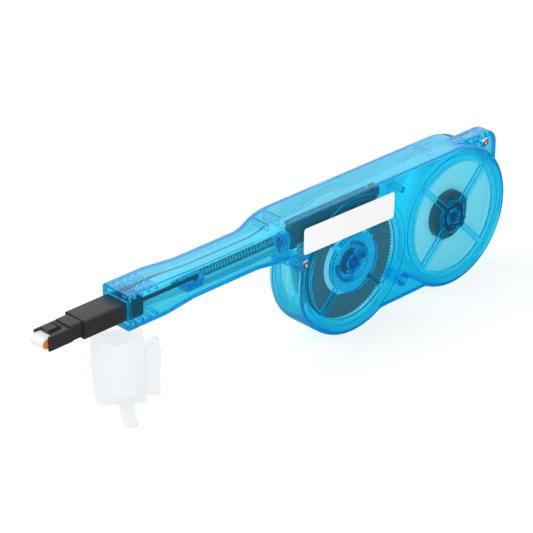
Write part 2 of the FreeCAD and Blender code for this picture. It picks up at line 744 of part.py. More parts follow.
def rack_bar():
    """Black slide plate with the rack on its back."""
    y1 = gear_front_y + gear_thick
    y0 = gear_front_y - side_gap
    plate_y0 = front_in_y + plate_gap
    z0, z1 = rack_z0, rack_z0 + rack_height
    pitch = math.pi * gear_module
    tooth = pitch / 2 - tooth_backlash
    lean = math.tan(math.radians(20))
    teeth = []
    for i in range(-rack_teeth_each_way, rack_teeth_each_way + 1):
        mid = (i + 0.5) * pitch
        tip_z = pitch_z - gear_addendum
        wide = tooth / 2 + (z0 - pitch_z) * lean
        thin = tooth / 2 - gear_addendum * lean
        teeth.append(plate_xz([(mid - wide, z0 + 0.1), (mid + wide, z0 + 0.1), (mid + thin, tip_z),
                               (mid - thin, tip_z)], y0, y1))
    bar = box(rack_x0, rack_x1, y0, y1, z0, z1).fuse(teeth)
    s = plate_step
    plate = plate_xz([(rack_x0, plate_z0), (rack_x1 - s, plate_z0), (rack_x1 - s, plate_z0 + s),
                      (rack_x1, plate_z0 + 2 * s), (rack_x1, z1), (rack_x0, z1)], plate_y0, plate_y0 + plate_thick)
    web = box(rack_x0, rack_x1, plate_y0 + plate_thick - 0.1, y0 + 0.1, z0 + 0.4, z1)
    leg_y1 = -rail_out - seat_gap / 2
    leg = box(rack_x0, rack_x0 + rack_leg_len, plate_y0, leg_y1, rail_z0, z1)
    peg = disc(rack_x0 + rack_leg_len / 2, (rail_z0 + rail_z1) / 2, peg_r, leg_y1 - 0.1, -rail_in)
    notch = box(rack_x1 - rack_notch, rack_x1 - rack_notch + 1.4, plate_y0 - 1, y1 + 1, z1 - 0.9, z1 + 1)
    return bar.fuse([plate, web, leg, peg]).cut(notch)


def carrier():
    """Blue carriage in the neck: takes the spring, joins the nozzle to the rack."""
    block = box(carrier_x0, carrier_x1, -carrier_half, carrier_half, carrier_z0, carrier_z1)
    sides = box(carrier_x0, carrier_x1, -rail_out, rail_out, carrier_z0, side_z1)
    rail = box(carrier_x0, rack_x0 + rack_leg_len, -rail_out, -rail_in, rail_z0, rail_z1)
    end_y0 = -rail_out - end_out
    end = box(end_x1 - end_len, end_x1, end_y0, -rail_in, rail_z0, rail_z0 + end_height)
    boss = disc(end_x1 - end_boss_r - seat_gap, spring_z + end_boss_up, end_boss_r, end_y0 - end_boss_out, end_y0 + 0.1)
    body = block.fuse([sides, rail, end, boss])
    rod_hole = Part.makeCylinder(rod_r + 0.02, carrier_len, Vector(carrier_x0 + 1.5, 0, spring_z), Vector(1, 0, 0))
    peg_hole = disc(rack_x0 + rack_leg_len / 2, (rail_z0 + rail_z1) / 2, peg_r + 0.05, -rail_out - 1, -rail_in + 1)
    nub_x = carrier_x0 + carrier_len / 2
    notches = [box(nub_x - 0.9, nub_x + 0.9, sign * rail_out - 1, sign * rail_out + 1, side_z1 - arm_nub - 0.1, side_z1 + 1)
               for sign in (-1, 1)]
    return body.cut([rod_hole, peg_hole] + notches)


def spring_guide_rod():
    x0 = carrier_x0 + 1.6
    return Part.makeCylinder(rod_r, rod_tail_x - x0, Vector(x0, 0, spring_z), Vector(1, 0, 0))


def return_spring():
    x0 = carrier_x1 + spring_wire_r
    length = spring_seat_x - spring_wire_r - x0
    helix = Part.makeHelix(length / spring_turns, length, spring_coil_r)
    start = Vector(spring_coil_r, 0, 0)
    circle = Part.Wire(Part.makeCircle(spring_wire_r, start, Vector(0, 1, 0)))
    coil = Part.Wire(helix).makePipeShell([circle], True, True)
    coil.rotate(Vector(0, 0, 0), Y_AXIS, 90)
    coil.translate(Vector(x0, 0, spring_z))
    return coil


def nozzle():
    shank = round_box(shank_front_x, shank_back_x, -shank_half, shank_half, shank_z0, shank_z1, 0.8)
    mid_z1 = shank_z1 - mid_step
    mid = round_box(mid_x0, shank_front_x + 0.5, -mid_half, mid_half, mid_z1 - mid_height, mid_z1, 0.6)
    tip = box(cheek_x0, mid_x0 + 0.5, -mid_half, mid_half, tip_floor_z, tip_roof_z)
    key = box(tip_roof_x, tip_roof_x + key_len, key_y0, key_y1, tip_roof_z - 0.1, tip_roof_z + key_height)
    key_slot = box(tip_roof_x + key_len - 2 * key_notch, tip_roof_x + key_len - key_notch, key_y0 - 1, key_y1 + 1,
                   tip_roof_z + 0.3, tip_roof_z + key_height + 1)
    body = shank.fuse([mid, tip, key] + cheeks() + nozzle_arms())
    channel_z0 = nose_z - channel_height / 2
    tip_z0, tip_z1 = tip_floor_z + tip_plate, tip_roof_z - tip_plate
    cuts = [key_slot,
            box(shank_front_x + 1.5, shank_back_x + 0.1, -channel_half, channel_half, channel_z0,
                channel_z0 + channel_height),
            box(cheek_x0 - 5, shank_front_x + 1.6, -channel_half, channel_half, tip_z0, tip_z1),
            box(cheek_x0 - 5, tip_roof_x, -channel_half, channel_half, tip_axis_z, tip_roof_z + 5),
            box(cheek_x0 - 5, cheek_x0 + tip_floor_short, -channel_half, channel_half, tip_floor_z - 1,
                tip_axis_z)]
    return body.cut(cuts)


def cheeks():
    """Side plates of the tip, standing a little proud of the middle section."""
    x0, x1, c = cheek_x0, mid_x0 + cheek_back, cheek_corner
    outline = [(x0, tip_floor_z), (x1 - c, tip_floor_z), (x1, tip_floor_z + c), (x1, tip_roof_z - c),
               (x1 - c, tip_roof_z), (x0, tip_roof_z)]
    return [plate_xz(outline, -cheek_half, -channel_half), plate_xz(outline, channel_half, cheek_half)]


def nozzle_arms():
    """Two arms from the shank's rear that clip onto the carriage."""
    arms = []
    nub_x = carrier_x0 + carrier_len / 2
    for sign in (-1, 1):
        y = sorted((sign * rail_in, sign * rail_out))
        arms.append(box(shank_back_x - 2, nub_x + 1.5, y[0], y[1], arm_z0, arm_z0 + arm_height))
        arms.append(box(nub_x - 0.7, nub_x + 0.7, y[0], y[1], side_z1 - arm_nub, arm_z0 + 0.1))
    return arms


def tip_pad():
    """Soft orange pad that presses the tape on the connector."""
    nose = disc(pad_x, tip_axis_z, pad_r, -pad_half, pad_half)
    tongue = box(pad_x, pad_x + pad_tongue, -tape_half, tape_half,
                 tip_axis_z - pad_tongue_thick / 2, tip_axis_z + pad_tongue_thick / 2)
    return nose.fuse(tongue)


def tip_tape():
    """The working tape: in above, round the pad, out below."""
    r_in = pad_r + tape_gap
    r_out = r_in + tape_thick
    bend = ring(pad_x, tip_axis_z, r_in, r_out, -tape_half, tape_half)
    bend = bend.cut(box(pad_x, pad_x + 2 * r_out, -tape_width, tape_width, tip_axis_z - 2 * r_out, tip_axis_z + 2 * r_out))
    throat_x = shank_front_x + throat_back
    back_x = shank_back_x - strip_gap / 2
    r = (r_in + r_out) / 2
    upper = tape_strip([(pad_x, tip_axis_z + r), (throat_x, tip_axis_z + r), (back_x, shank_z1 - tape_in_shank)])
    lower = tape_strip([(pad_x, tip_axis_z - r), (throat_x, tip_axis_z - r), (back_x, shank_z0 + tape_in_shank)])
    return bend.fuse([upper, lower])


# ---- small parts ----

def screw(x, z, y_head, head_h, length):
    body = disc(x, z, screw_head_r, y_head, y_head + head_h).fuse(disc(x, z, screw_r, y_head, y_head + length))
    slots = [box(x - 1.2, x + 1.2, y_head - 1, y_head + cross_depth, z - cross_size / 2, z + cross_size / 2),
             box(x - cross_size / 2, x + cross_size / 2, y_head - 1, y_head + cross_depth, z - 1.2, z + 1.2)]
    for s in slots:
        s.rotate(Vector(x, 0, z), Y_AXIS, 20)
    return body.cut(slots)


def housing_screws():
    nose = screw(nose_screw_x, nose_screw_z, front_y + 0.1, screw_head_h - 0.12, nose_screw_len)
    lug = screw(lug_screw_x, lug_screw_z, lug_y0 - screw_head_h / 2, screw_head_h - 0.02, lug_screw_len)
    return Part.makeCompound([nose, lug])


def label():
    y0, y1 = front_y - label_thick, front_y
    card = box(label_x0, label_x0 + label_len, y0, y1, label_z, label_z + label_height)
    card = card.makeFillet(label_corner_r, [e for e in card.Edges if abs(e.tangentAt(e.FirstParameter).y) > 0.9])
    centre = Vector(label_x0 + label_len / 2, 0, label_z + label_height / 2)
    card.rotate(centre, Y_AXIS, label_tilt)
    return card


def guide_cap():
    """Guide cap for plugs: keyed sleeve, side lever and pull tongue, one moulding."""
    sleeve = box(0, cap_width, 0, cap_depth, 0, cap_height)
    upright = [e for e in sleeve.Edges if abs(e.tangentAt(e.FirstParameter).z) > 0.9]
    sleeve = sleeve.makeFillet(cap_edge_r, upright)
    o = cap_band_out
    band = box(-o, cap_width + o, -o, cap_depth + o, cap_band_z, cap_band_z + cap_band_h)
    mid_y = cap_depth / 2
    root = box(cap_width - 0.5, cap_width + lever_w, mid_y - lever_thick / 2, mid_y + lever_thick / 2, 0, lever_root)
    bend_r = (lever_w - lever_gap) / 2
    top = box(cap_width + lever_gap, cap_width + lever_w, mid_y - lever_thick / 2, mid_y + lever_thick / 2,
              lever_root - 1, lever_top - bend_r)
    crown = disc(cap_width + lever_gap + bend_r, lever_top - bend_r, bend_r, mid_y - lever_thick / 2,
                 mid_y + lever_thick / 2)
    nub = box(cap_width + lever_w - 0.1, cap_width + lever_w + lever_nub, mid_y - lever_thick / 2,
              mid_y + lever_thick / 2, lever_nub_z0, lever_nub_z1)
    tx = cap_width / 2 + 1.8
    tongue = box(tx - tongue_w / 2, tx + tongue_w / 2, tongue_w / 2 - tongue_len, 1.0, 0, tongue_thick)
    tip = Part.makeCylinder(tongue_w / 2, tongue_thick, Vector(tx, tongue_w / 2 - tongue_len, 0))
    cap = sleeve.fuse([band, root, top, crown, nub, tongue, tip])
    bx, by = (cap_width - cap_bore_w) / 2, (cap_depth - cap_bore_d) / 2
    bore = box(bx, bx + cap_bore_w, by, by + cap_bore_d, cap_floor, cap_height + 1)
    kx = (cap_width - cap_key_w) / 2
    key = box(kx, kx + cap_key_w, by - cap_key_d, by + 1, cap_height - cap_key_drop, cap_height + 1)
    foot = box(-1, cap_foot_step, -1, cap_depth + 1, -1, cap_foot_h)
    cap = cap.cut([bore, key, foot])
    cap.rotate(Vector(0, 0, 0), Vector(0, 0, 1), cap_turn)
    cap.translate(Vector(cap_x, cap_y, 0))
    return cap


nodes = {
    "front_shell": front_shell,
    "rear_shell": rear_shell,
    "housing_screws": housing_screws,
    "label": label,
    "drive_gear": drive_gear,
    "take_up_reel": take_up_reel,
    "take_up_tape": take_up_tape,
    "pawl_ring": pawl_ring,
    "supply_reel": supply_reel,
    "supply_tape": supply_tape,
    "friction_washer": friction_washer,
    "feed_tape_run": feed_tape_run,
    "return_tape_run": return_tape_run,
    "rack_bar": rack_bar,
    "carrier": carrier,
    "spring_guide_rod": spring_guide_rod,
    "return_spring": return_spring,
    "nozzle": nozzle,
    "tip_pad": tip_pad,
    "tip_tape": tip_tape,
    "guide_cap": guide_cap,
}

os.makedirs("parts", exist_ok=True)
for node, make in nodes.items():
    shape = make()
    place_out(shape, node)
    print("%-18s solids %d valid %s volume %.1f" % (node, len(shape.Solids), shape.isValid(), shape.Volume))
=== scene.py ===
import math

import bmesh
import bpy
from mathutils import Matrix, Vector


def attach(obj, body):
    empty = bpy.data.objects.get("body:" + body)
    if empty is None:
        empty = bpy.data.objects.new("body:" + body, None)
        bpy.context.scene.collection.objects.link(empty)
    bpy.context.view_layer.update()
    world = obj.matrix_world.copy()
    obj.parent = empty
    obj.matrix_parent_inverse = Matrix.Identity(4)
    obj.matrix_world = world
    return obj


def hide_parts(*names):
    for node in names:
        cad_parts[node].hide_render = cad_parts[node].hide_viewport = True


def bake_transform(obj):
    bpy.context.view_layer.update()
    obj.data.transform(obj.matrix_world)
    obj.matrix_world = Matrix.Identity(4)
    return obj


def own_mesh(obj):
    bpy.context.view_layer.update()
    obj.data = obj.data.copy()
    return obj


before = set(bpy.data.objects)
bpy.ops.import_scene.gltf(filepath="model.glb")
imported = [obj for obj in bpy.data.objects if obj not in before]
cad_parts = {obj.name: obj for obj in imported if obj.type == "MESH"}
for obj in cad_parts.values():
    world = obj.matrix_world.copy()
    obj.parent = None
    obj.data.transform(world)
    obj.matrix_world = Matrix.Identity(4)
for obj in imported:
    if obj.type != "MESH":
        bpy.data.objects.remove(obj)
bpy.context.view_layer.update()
print("frame loaded:", len(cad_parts), "nodes")

# Places are measured from the front reel's axle on the tool's mid plane, in millimetres,
# and spot() turns them into the shared frame's metres.
layout = {
    "axleX": 30.435,
    "midY": -9.8284,
    "axleHeight": 28.8,
    "axlePitch": 55.0,
    "waistX": -24.0,        # the neck's thinner walls lie in front of this
    "seamY": -1.15,         # where the two halves of the housing meet
    "seamReach": 0.2,
    "seamFlatness": 0.95,
}


def spot(x, y, z):
    return Vector(((x + layout["axleX"]) / 1000, (y + layout["midY"]) / 1000, z / 1000))


def mm(value):
    return value / 1000


# shader groups that several finishes share
def startGroup(name, inputs, outputs):
    group = bpy.data.node_groups.new(name, "ShaderNodeTree")
    for label, value in inputs:
        socket = group.interface.new_socket(name=label, in_out="INPUT", socket_type="NodeSocketFloat")
        socket.default_value = value
    for label in outputs:
        group.interface.new_socket(name=label, in_out="OUTPUT", socket_type="NodeSocketFloat")
    enter = group.nodes.new("NodeGroupInput")
    leave = group.nodes.new("NodeGroupOutput")
    return group, enter, leave


def mathNode(nodes, operation, first, second=None, clamp=False):
    node = nodes.new("ShaderNodeMath")
    node.operation = operation
    node.use_clamp = clamp
    tree = node.id_data
    for socket, value in zip(node.inputs, (first, second)):
        if value is None:
            continue
        if isinstance(value, (int, float)):
            socket.default_value = value
        else:
            tree.links.new(value, socket)
    return node.outputs[0]


def mixColour(nodes, factor, first, second):
    node = nodes.new("ShaderNodeMix")
    node.data_type = "RGBA"
    links = node.id_data.links
    links.new(factor, node.inputs["Factor"])
    for label, colour in (("A", first), ("B", second)):
        if isinstance(colour, tuple):
            node.inputs[label].default_value = (*colour, 1.0)
        else:
            links.new(colour, node.inputs[label])
    return node.outputs["Result"]


def buildMouldGrain():
    # fine spark-eroded texture of a moulding, with soft sink marks under it
    group, enter, leave = startGroup("mouldGrain", [
        ("Grain Scale", 2500.0), ("Sink Scale", 60.0), ("Sink Share", 0.5)], ["Height"])
    nodes, links = group.nodes, group.links
    place = nodes.new("ShaderNodeTexCoord")
    fine = nodes.new("ShaderNodeTexNoise")
    fine.inputs["Detail"].default_value = 3.0
    broad = nodes.new("ShaderNodeTexNoise")
    broad.inputs["Detail"].default_value = 2.0
    for node, label in ((fine, "Grain Scale"), (broad, "Sink Scale")):
        links.new(place.outputs["Object"], node.inputs["Vector"])
        links.new(enter.outputs[label], node.inputs["Scale"])
    sink = mathNode(nodes, "MULTIPLY", broad.outputs["Fac"], enter.outputs["Sink Share"])
    links.new(mathNode(nodes, "ADD", fine.outputs["Fac"], sink), leave.inputs["Height"])
    return group


def buildHandling():
    # faint rubs that change the gloss of handled plastic
    group, enter, leave = startGroup("handling", [
        ("Rub Scale", 140.0), ("Rub Amount", 0.08)], ["Rough Shift"])
    nodes, links = group.nodes, group.links
    place = nodes.new("ShaderNodeTexCoord")
    stretch = nodes.new("ShaderNodeMapping")
    stretch.inputs["Scale"].default_value = (1.0, 1.0, 4.0)
    rub = nodes.new("ShaderNodeTexNoise")
    rub.inputs["Detail"].default_value = 5.0
    links.new(place.outputs["Object"], stretch.inputs["Vector"])
    links.new(stretch.outputs["Vector"], rub.inputs["Vector"])
    links.new(enter.outputs["Rub Scale"], rub.inputs["Scale"])
    centred = mathNode(nodes, "SUBTRACT", rub.outputs["Fac"], 0.5)
    shift = mathNode(nodes, "MULTIPLY", centred, enter.outputs["Rub Amount"])
    links.new(shift, leave.inputs["Rough Shift"])
    return group


def buildClothWeave():
    # close weave of the cleaning tape: threads along X and across in Y
    group, enter, leave = startGroup("clothWeave", [("Threads", 5200.0)], ["Height"])
    nodes, links = group.nodes, group.links
    place = nodes.new("ShaderNodeTexCoord")
    waves = []
    for direction in ("X", "Y"):
        wave = nodes.new("ShaderNodeTexWave")
        wave.bands_direction = direction
        wave.inputs["Distortion"].default_value = 0.4
        links.new(place.outputs["Object"], wave.inputs["Vector"])
        links.new(enter.outputs["Threads"], wave.inputs["Scale"])
        waves.append(wave.outputs["Fac"])
    links.new(mathNode(nodes, "MAXIMUM", waves[0], waves[1]), leave.inputs["Height"])
    return group


def buildWallMap():
    # where the moulding is thick: Web is 1 on the two side faces outside the round panes,
    # and Hub is 1 on the hubs
    group, enter, leave = startGroup("wallMap", [
        ("Pane Radius", 0.0235), ("Front Hub Radius", 0.0118), ("Rear Hub Radius", 0.0064),
        ("Face Depth", 0.0064), ("Soft Edge", 0.0008)], ["Web", "Hub"])
    nodes, links = group.nodes, group.links
    place = nodes.new("ShaderNodeTexCoord")
    split = nodes.new("ShaderNodeSeparateXYZ")
    links.new(place.outputs["Object"], split.inputs["Vector"])

    def step(value, edge):
        beyond = mathNode(nodes, "SUBTRACT", value, edge)
        soft = mathNode(nodes, "DIVIDE", beyond, enter.outputs["Soft Edge"])
        return mathNode(nodes, "ADD", soft, 0.5, clamp=True)

    def less(first, second):
        return mathNode(nodes, "SUBTRACT", first, second)

    def times(first, second):
        return mathNode(nodes, "MULTIPLY", first, second)

    across = mathNode(nodes, "ABSOLUTE", less(split.outputs["Y"], spot(0, 0, 0).y))
    face = step(across, enter.outputs["Face Depth"])
    rise = less(split.outputs["Z"], mm(layout["axleHeight"]))
    web, hubs = step(split.outputs["X"], spot(layout["waistX"], 0, 0).x), 0.0
    for axle, label in ((0.0, "Front Hub Radius"), (layout["axlePitch"], "Rear Hub Radius")):
        along = less(split.outputs["X"], spot(axle, 0, 0).x)
        reach = mathNode(nodes, "SQRT", mathNode(nodes, "ADD", times(along, along), times(rise, rise)))
        hubs = mathNode(nodes, "MAXIMUM", less(1.0, step(reach, enter.outputs[label])), hubs)
        web = times(web, step(reach, enter.outputs["Pane Radius"]))
    links.new(times(web, face), leave.inputs["Web"])
    links.new(times(hubs, face), leave.inputs["Hub"])
    return group


mouldGrain = buildMouldGrain()
handling = buildHandling()
clothWeave = buildClothWeave()
wallMap = buildWallMap()
print("shader groups built")


# finishes
def startMaterial(name, colour, roughness, **values):
    material = bpy.data.materials.new(name)
    material.use_nodes = True
    material.diffuse_color = (*colour, 1.0)
    nodes = material.node_tree.nodes
    body = nodes["Principled BSDF"]
    body.inputs["Base Color"].default_value = (*colour, 1.0)
    body.inputs["Roughness"].default_value = roughness
    for label, value in values.items():
        body.inputs[label.replace("_", " ")].default_value = value
    return material, body


def placeGroup(material, group, **values):
    node = material.node_tree.nodes.new("ShaderNodeGroup")
    node.node_tree = group
    for label, value in values.items():
        node.inputs[label.replace("_", " ")].default_value = value
    return node


def addBump(material, body, height, distance, strength=1.0):
    bump = material.node_tree.nodes.new("ShaderNodeBump")
    bump.inputs["Distance"].default_value = distance
    bump.inputs["Strength"].default_value = strength
    material.node_tree.links.new(height, bump.inputs["Height"])
    material.node_tree.links.new(bump.outputs["Normal"], body.inputs["Normal"])


def addGrain(material, body, depth, scale=2500.0, sink=0.5):
    grain = placeGroup(material, mouldGrain, Grain_Scale=scale, Sink_Share=sink)
    addBump(material, body, grain.outputs["Height"], depth)


def addRub(material, body, roughness, amount=0.08, scale=140.0):
    rub = placeGroup(material, handling, Rub_Scale=scale, Rub_Amount=amount)
    total = mathNode(material.node_tree.nodes, "ADD", rub.outputs["Rough Shift"], roughness, clamp=True)
    material.node_tree.links.new(total, body.inputs["Roughness"])


def mouldedPlastic(name, colour, roughness, depth=0.00001, scale=2500.0, rub=0.08, **values):
    material, body = startMaterial(name, colour, roughness, **values)
    addGrain(material, body, depth, scale)
    addRub(material, body, roughness, rub)
    return material


# rim and the power, share and piped values below set a painted glow at grazing edges and after internal
# turns, in place of light the walls pipe
clearBlue = {
    "tint": (0.97, 1.0, 1.0),
    "webTint": (0.12, 0.90, 1.0),
    "hubTint": (0.03, 0.60, 0.86),
    "absorb": (0.0, 0.915, 0.992),   # what a thick run of the plastic leaves of white light
    "density": 640.0,                # per metre of plastic
    "rim": (0.0, 0.55, 0.85),        # painted glow colour where a surface is seen along its length
    "paintedGlowPower": 5.0,
    "paintedInnerGlowPower": 2.2,               # the same painted glow for rays that are already inside the plastic
    "paintedGlowShare": 0.8,
    "paintedGlowTurns": 1,                 # rays that have turned this often inside a wall get the painted glow
    "paintedPipedGlowShare": 0.9,
    "haze": 0.02,
    "shadow": (0.99, 0.99, 0.99),
    "ior": 1.25,
    "coat": 0.8,
    "roughness": 0.02,
    "rub": 0.02,
}


def seamMask(material):
    # 1 on the flat faces where the two halves of the housing meet, so that the joint stays faint
    nodes, links = material.node_tree.nodes, material.node_tree.links
    place = nodes.new("ShaderNodeTexCoord")
    shape = nodes.new("ShaderNodeNewGeometry")
    across = []
    for output in (place.outputs["Object"], shape.outputs["True Normal"]):
        split = nodes.new("ShaderNodeSeparateXYZ")
        links.new(output, split.inputs["Vector"])
        across.append(split.outputs["Y"])
    away = mathNode(nodes, "SUBTRACT", across[0], spot(0, layout["seamY"], 0).y)
    away = mathNode(nodes, "ABSOLUTE", away)
    near = mathNode(nodes, "LESS_THAN", away, mm(layout["seamReach"]))
    facing = mathNode(nodes, "ABSOLUTE", across[1])
    flat = mathNode(nodes, "GREATER_THAN", facing, layout["seamFlatness"])
    return mathNode(nodes, "MULTIPLY", near, flat)


def clearPlastic(name, settings):
    material, body = startMaterial(name, settings["tint"], settings["roughness"])
    body.inputs["Transmission Weight"].default_value = 1.0
    body.inputs["IOR"].default_value = settings["ior"]
    body.inputs["Coat Weight"].default_value = settings["coat"]
    body.inputs["Coat Roughness"].default_value = settings["roughness"]
    nodes, links = material.node_tree.nodes, material.node_tree.links
    addRub(material, body, settings["roughness"], settings["rub"])
    walls = placeGroup(material, wallMap)
    tint = mixColour(nodes, walls.outputs["Web"], settings["tint"], settings["webTint"])
    tint = mixColour(nodes, walls.outputs["Hub"], tint, settings["hubTint"])
    links.new(tint, body.inputs["Base Color"])

    # an edge seen along its length, and a ray that has turned inside a wall, get a painted glow: a lit
    # diffuse colour in place of the light the plastic pipes
    paintedGlow = nodes.new("ShaderNodeBsdfDiffuse")
    paintedGlow.inputs["Color"].default_value = (*settings["rim"], 1.0)
    facing = nodes.new("ShaderNodeLayerWeight")
    facing.inputs["Blend"].default_value = 0.5
    side = nodes.new("ShaderNodeNewGeometry")
    change = settings["paintedInnerGlowPower"] - settings["paintedGlowPower"]
    drop = mathNode(nodes, "MULTIPLY", side.outputs["Backfacing"], change)
    steep = mathNode(nodes, "ADD", drop, settings["paintedGlowPower"])
    rim = mathNode(nodes, "POWER", facing.outputs["Facing"], steep)
    rim = mathNode(nodes, "MULTIPLY", rim, settings["paintedGlowShare"])
    rim = mathNode(nodes, "ADD", rim, settings["haze"], clamp=True)
    path = nodes.new("ShaderNodeLightPath")
    turns = path.outputs["Glossy Depth"]
    paintedPipedGlow = mathNode(nodes, "GREATER_THAN", turns, settings["paintedGlowTurns"] - 0.5)
    paintedPipedGlow = mathNode(nodes, "MULTIPLY", paintedPipedGlow, settings["paintedPipedGlowShare"])
    rim = mathNode(nodes, "MAXIMUM", rim, paintedPipedGlow)
    seen = nodes.new("ShaderNodeMixShader")
    links.new(rim, seen.inputs["Fac"])
    links.new(body.outputs["BSDF"], seen.inputs[1])
    links.new(paintedGlow.outputs["BSDF"], seen.inputs[2])

    # light for the things inside passes straight through the walls
    passing = nodes.new("ShaderNodeBsdfTransparent")
    passing.inputs["Color"].default_value = (*settings["shadow"], 1.0)
    mix = nodes.new("ShaderNodeMixShader")
    lit = mathNode(nodes, "MAXIMUM", path.outputs["Is Shadow Ray"], path.outputs["Is Diffuse Ray"])
    lit = mathNode(nodes, "MAXIMUM", lit, seamMask(material))
    links.new(lit, mix.inputs["Fac"])
    links.new(seen.outputs["Shader"], mix.inputs[1])
    links.new(passing.outputs["BSDF"], mix.inputs[2])
    links.new(mix.outputs["Shader"], nodes["Material Output"].inputs["Surface"])
    absorb = nodes.new("ShaderNodeVolumeAbsorption")
    absorb.inputs["Color"].default_value = (*settings["absorb"], 1.0)
    absorb.inputs["Density"].default_value = settings["density"]
    links.new(absorb.outputs["Volume"], nodes["Material Output"].inputs["Volume"])
    return material


frostedCap = {
    "tint": (0.98, 0.985, 0.99),
    "webTint": (0.98, 0.985, 0.99),
    "hubTint": (0.98, 0.985, 0.99),
    "absorb": (0.875, 0.89, 0.90),
    "density": 34.0,
    # rim and the power, share and piped values set the cap's painted edge glow
    "rim": (0.895, 0.91, 0.925),
    "paintedGlowPower": 4.0,
    "paintedInnerGlowPower": 2.0,
    "paintedGlowShare": 0.4,
    "paintedGlowTurns": 3,
    "paintedPipedGlowShare": 0.8,
    "haze": 0.5,
    "shadow": (0.95, 0.95, 0.95),
    "ior": 1.12,
    "coat": 0.5,
    "roughness": 0.30,
    "rub": 0.02,
}
# the carrier's plastic, with a weaker painted edge glow
carrierBlue = clearBlue | {
    "ior": 1.3,
    "density": 420.0,
    "paintedGlowTurns": 3,
    "paintedGlowShare": 0.5,
    "haze": 0.0,
}


tapeFinish = {
    "roughness": 0.75,
    "threads": 5200.0,
    "depth": 0.00002,
    "strength": 0.6,
    "sheen": 0.2,
}


def buildTape(name, colour, settings):
    material, body = startMaterial(name, colour, settings["roughness"], Sheen_Weight=settings["sheen"])
    weave = placeGroup(material, clothWeave, Threads=settings["threads"])
    addBump(material, body, weave.outputs["Height"], settings["depth"], settings["strength"])
    return material


woundFinish = {
    "roughness": 0.7,
    "ringScale": 420.0,
    "unevenness": 0.8,
    "detail": 1.0,
    "depth": 0.00006,
    "strength": 0.8,
}


def buildWoundTape(name, colour, centreX, settings):
    # edges of the wound layers: fine rings about the reel's axle
    material, body = startMaterial(name, colour, settings["roughness"])
    nodes, links = material.node_tree.nodes, material.node_tree.links
    place = nodes.new("ShaderNodeTexCoord")
    centre = nodes.new("ShaderNodeMapping")
    hub = spot(centreX, 0, layout["axleHeight"])
    centre.inputs["Location"].default_value = (-hub.x, 0.0, -hub.z)
    rings = nodes.new("ShaderNodeTexWave")
    rings.wave_type = "RINGS"
    rings.rings_direction = "Y"
    rings.inputs["Scale"].default_value = settings["ringScale"]
    rings.inputs["Distortion"].default_value = settings["unevenness"]
    rings.inputs["Detail"].default_value = settings["detail"]
    links.new(place.outputs["Object"], centre.inputs["Vector"])
    links.new(centre.outputs["Vector"], rings.inputs["Vector"])
    addBump(material, body, rings.outputs["Fac"], settings["depth"], settings["strength"])
    return material


def buildSteel(name, colour, roughness):
    material, body = startMaterial(name, colour, roughness, Metallic=1.0)
    addGrain(material, body, depth=0.000004, scale=1800.0, sink=0.3)
    addRub(material, body, roughness, amount=0.1, scale=300.0)
    return material


def buildLabel():
    material, body = startMaterial("plainLabel", (0.99, 0.99, 0.99), 0.42, Coat_Weight=0.25)
    addGrain(material, body, depth=0.000004, scale=3200.0, sink=1.5)
    return material


finishes = {
    "housing_plastic": clearPlastic("clearBlue", clearBlue),
    "cap_plastic": clearPlastic("frostedCap", frostedCap),
    "nozzle_plastic": mouldedPlastic("nozzleBlack", (0.024, 0.024, 0.027), 0.27,
                                    depth=0.000002, Specular_IOR_Level=0.38),
    "rack_plastic": mouldedPlastic("rackBlack", (0.085, 0.105, 0.13), 0.4),
    "gear_plastic": mouldedPlastic("gearGrey", (0.12, 0.13, 0.16), 0.45),
    "reel_plastic": mouldedPlastic("reelBlack", (0.035, 0.038, 0.05), 0.35),
    # white reel plastic with painted blue light: the blue in its colour stands in for the light inside
    # the blue housing
    "light_plastic": mouldedPlastic("reelWhiteBlueLit", (0.80, 0.87, 0.93), 0.4),
    "carrier_plastic": clearPlastic("carrierBlue", carrierBlue),
    "tape": buildTape("cleanTape", (0.76, 0.76, 0.77), tapeFinish),
    "pad_rubber": mouldedPlastic("orangePad", (0.72, 0.17, 0.03), 0.55, depth=0.00002, scale=1800.0),
    "label_film": buildLabel(),
    "screw_steel": buildSteel("screwSteel", (0.74, 0.74, 0.73), 0.24),
    "spring_steel": buildSteel("springSteel", (0.30, 0.31, 0.33), 0.35),
}
rodPlastic = mouldedPlastic("rodBlue", (0.30, 0.82, 0.96), 0.35)
# tape inside the housing: white tape and wound rolls with painted blue light, a bluish colour in place
# of the light filtered by the blue shell
blueLitTape = buildTape("blueLitTape", (0.84, 0.92, 0.98), tapeFinish)
woundSupplyBlueLit = buildWoundTape("woundSupplyBlueLit", (0.85, 0.93, 0.99), layout["axlePitch"], woundFinish)
woundTakeUpBlueLit = buildWoundTape("woundTakeUpBlueLit", (0.78, 0.83, 0.86), 0.0, woundFinish)
print("finishes built:", len(finishes) + 4)


# how the CAD solids are cleaned, smoothed and rounded; lengths of the first two in metres
meshSettings = {
    "mergeWithin": 0.000002,
    "dropBelow": 0.000001,
    "smoothAngle": 32.0,
    "grownSmoothAngle": 35.0,
    "bevelAngle": 40.0,
    "bevelSegments": 2,
}


